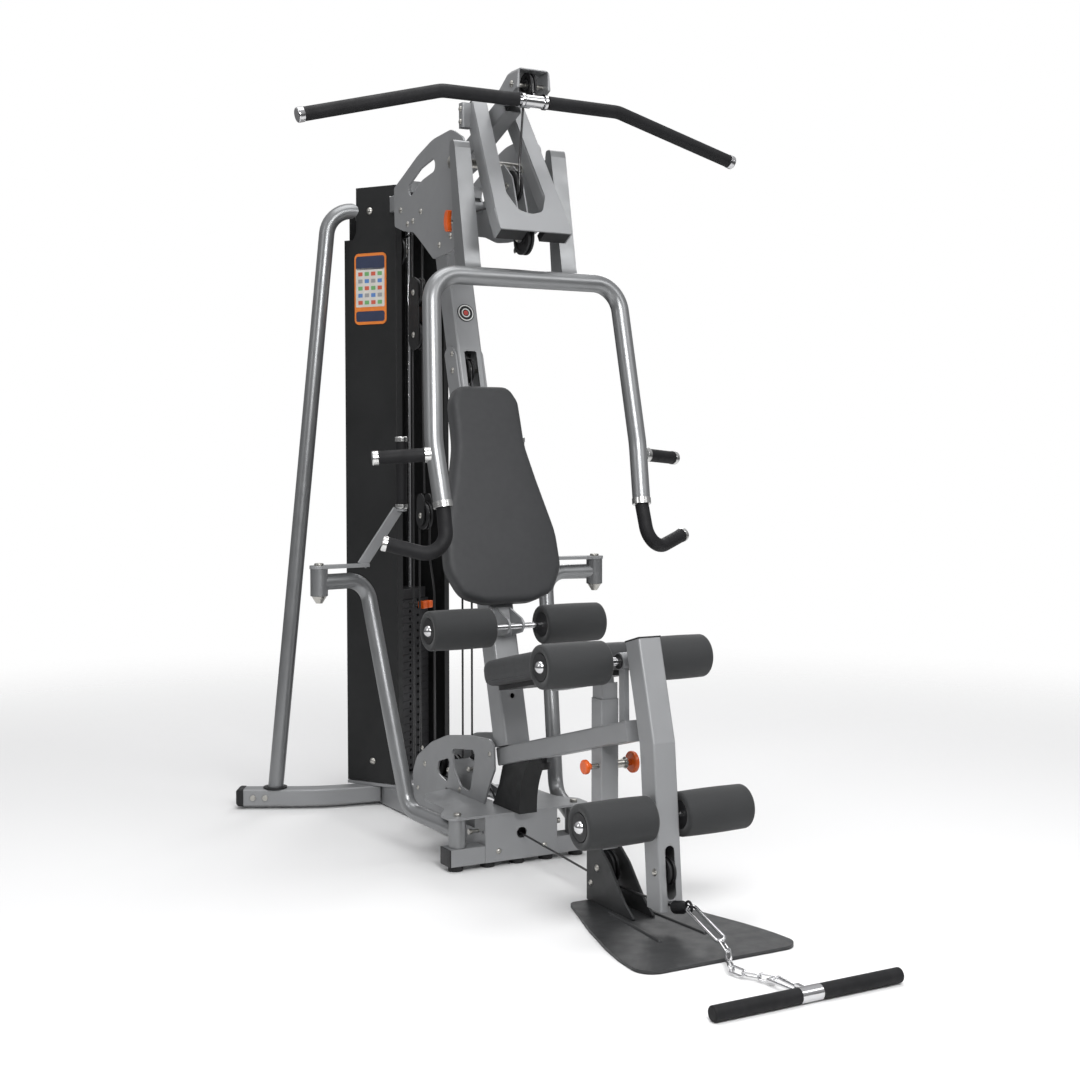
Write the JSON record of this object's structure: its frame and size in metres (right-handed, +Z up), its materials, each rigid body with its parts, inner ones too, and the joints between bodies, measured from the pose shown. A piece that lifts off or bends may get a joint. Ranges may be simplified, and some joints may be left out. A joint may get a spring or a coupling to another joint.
{
  "type": "multi station home gym",
  "caption": "Multi station home gym: leaning mast with press arm, lat bar, padded seat, leg developer, low row bar, swinging cable arms and a shrouded weight stack.",
  "frame": {"origin": "on the floor, at the middle of the foot below the pivots of the swinging cable arms", "axes": "+Z up, -Y the way the seated user looks, +X towards the left hand of the seated user"},
  "size_m": [1.2976, 2.352, 2.108],
  "materials": {
    "frame_silver": "satin",
    "tube_silver": "satin",
    "cover_grey": "matte",
    "foot_grey": "satin",
    "vinyl": "matte",
    "foam": "matte",
    "grip_rubber": "matte",
    "black_plastic": "matte",
    "bright_metal": "satin",
    "chrome": "polished",
    "zinc": "satin",
    "cable_coat": "gloss",
    "weight_iron": "matte",
    "orange_plastic": "gloss",
    "label": "matte"
  },
  "bodies": {
    "frame": {"base_frame": "frame_silver", "base_plates": "frame_silver", "column_foot": "foot_grey", "fan_plates": "frame_silver", "foot_plate": "foot_grey", "frame_brackets": "frame_silver", "frame_caps": "black_plastic", "frame_hardware": "zinc", "frame_pulleys": "black_plastic", "guide_rods": "chrome", "head_frame": "frame_silver", "head_front_plate": "frame_silver", "hood": "frame_silver", "lat_cable": "cable_coat", "mast": "frame_silver", "mast_pedestal": "cover_grey", "placard": "label", "rear_brace_tube": "tube_silver", "rear_foot_beam": "frame_silver", "row_cable": "cable_coat", "seat_frame": "frame_silver", "shroud_left": "cover_grey", "shroud_right": "cover_grey", "tower_frame": "frame_silver", "weight_plates": "weight_iron"},
    "press_arm": {"press_arm": "tube_silver", "press_fittings": "bright_metal", "press_grips": "grip_rubber"},
    "stack": {"lifted_weights": "weight_iron", "stack_stem": "chrome"},
    "selector": {"selector_pin": "orange_plastic"},
    "hood_wheel": {"hood_pulley": "black_plastic"},
    "pulldown_bar": {"lat_bar": "chrome", "lat_bar_grips": "grip_rubber"},
    "press_pin": {"press_pull_pin": "orange_plastic"},
    "seat_pin": {"seat_pull_pin": "orange_plastic"},
    "lock_pin": {"lock_pull_pin": "orange_plastic"},
    "arm_pin_left": {"arm_pin_left": "zinc"},
    "arm_pin_right": {"arm_pin_right": "zinc"},
    "seat": {"seat_pad": "vinyl", "seat_post": "frame_silver"},
    "back_rest": {"back_pad": "vinyl", "back_pad_board": "cover_grey"},
    "leg": {"leg_arm": "frame_silver", "leg_cap": "black_plastic", "leg_pulley": "black_plastic"},
    "ankle_roller": {"ankle_roller_axle": "chrome", "ankle_roller_foam": "foam"},
    "knee_roller": {"knee_roller_axle": "chrome", "knee_roller_foam": "foam"},
    "hold_roller": {"hold_roller_axle": "chrome", "hold_roller_foam": "foam"},
    "arm_left": {"swing_arm_left": "tube_silver"},
    "arm_right": {"swing_arm_right": "tube_silver"},
    "handle_left": {"forearm_left": "frame_silver", "hand_grip_left": "grip_rubber"},
    "handle_right": {"forearm_right": "frame_silver", "hand_grip_right": "grip_rubber"},
    "row_bar": {"low_bar_grips": "grip_rubber", "row_chain": "chrome"}
  },
  "joints": [
    {"name": "press_swing", "type": "hinge", "parent": "frame", "child": "press_arm", "pos_m": [0, 0.105, 1.89], "axis": [-1, 0, 0], "range_deg": [0, 30]},
    {"name": "weight_lift", "type": "slide", "parent": "frame", "child": "stack", "axis": [0, 0, 1], "range_m": [0, 0.45]},
    {"name": "lat_bar_pull", "type": "slide", "parent": "frame", "child": "pulldown_bar", "axis": [0, -0.5, -0.866], "range_m": [0, 0.45]},
    {"name": "hood_pulley_spin", "type": "hinge", "parent": "frame", "child": "hood_wheel", "pos_m": [0, -0.067, 2.07], "axis": [1, 0, 0], "range_deg": [0, 1000]},
    {"name": "selector_pull", "type": "slide", "parent": "stack", "child": "selector", "axis": [0.5432, -0.8396, 0], "range_m": [0, 0.06]},
    {"name": "press_pin_pull", "type": "slide", "parent": "frame", "child": "press_pin", "axis": [-1, 0, 0], "range_m": [0, 0.012], "stiffness_N_per_m": 800},
    {"name": "seat_pin_pull", "type": "slide", "parent": "frame", "child": "seat_pin", "axis": [-1, 0, 0], "range_m": [0, 0.012], "stiffness_N_per_m": 800},
    {"name": "lock_pin_pull", "type": "slide", "parent": "frame", "child": "lock_pin", "axis": [1, 0, 0], "range_m": [0, 0.012], "stiffness_N_per_m": 800},
    {"name": "arm_pin_left_pull", "type": "slide", "parent": "frame", "child": "arm_pin_left", "axis": [-1, 0, 0], "range_m": [0, 0.012], "stiffness_N_per_m": 800},
    {"name": "arm_pin_right_pull", "type": "slide", "parent": "frame", "child": "arm_pin_right", "axis": [1, 0, 0], "range_m": [0, 0.012], "stiffness_N_per_m": 800},
    {"name": "seat_height", "type": "slide", "parent": "frame", "child": "seat", "axis": [0, 0, 1], "range_m": [0, 0.08]},
    {"name": "back_rest_slide", "type": "slide", "parent": "frame", "child": "back_rest", "axis": [0, -1, 0], "range_m": [0, 0.04]},
    {"name": "leg_swing", "type": "hinge", "parent": "frame", "child": "leg", "pos_m": [0, -0.543, 0.612], "axis": [-1, 0, 0], "range_deg": [0, 80]},
    {"name": "ankle_roller_spin", "type": "hinge", "parent": "leg", "child": "ankle_roller", "pos_m": [0, -0.72, 0.271], "axis": [1, 0, 0], "continuous": true},
    {"name": "knee_roller_spin", "type": "hinge", "parent": "frame", "child": "knee_roller", "pos_m": [0, -0.543, 0.612], "axis": [1, 0, 0], "continuous": true},
    {"name": "hold_roller_spin", "type": "hinge", "parent": "frame", "child": "hold_roller", "pos_m": [0, 0.006, 0.644], "axis": [1, 0, 0], "continuous": true},
    {"name": "arm_left_swing", "type": "hinge", "parent": "frame", "child": "arm_left", "pos_m": [-0.179, 0, 0.1], "axis": [0, 0, 1], "range_deg": [0, 70]},
    {"name": "arm_right_swing", "type": "hinge", "parent": "frame", "child": "arm_right", "pos_m": [0.179, 0, 0.1], "axis": [0, 0, -1], "range_deg": [0, 70]},
    {"name": "handle_left_swivel", "type": "hinge", "parent": "arm_left", "child": "handle_left", "pos_m": [-0.44, 0.325, 0.757], "axis": [0, 0, 1], "range_deg": [-20, 45]},
    {"name": "handle_right_swivel", "type": "hinge", "parent": "arm_right", "child": "handle_right", "pos_m": [0.44, 0.325, 0.757], "axis": [0, 0, -1], "range_deg": [-20, 45]},
    {"name": "row_bar_pull", "type": "slide", "parent": "frame", "child": "row_bar", "axis": [0, -1, 0], "range_m": [0, 0.4]}
  ],
  "couplings": [
    {"joint": "lat_bar_pull", "follows": "weight_lift", "ratio": 1},
    {"joint": "hood_pulley_spin", "follows": "weight_lift", "rad_per_m": 38.462}
  ]
}
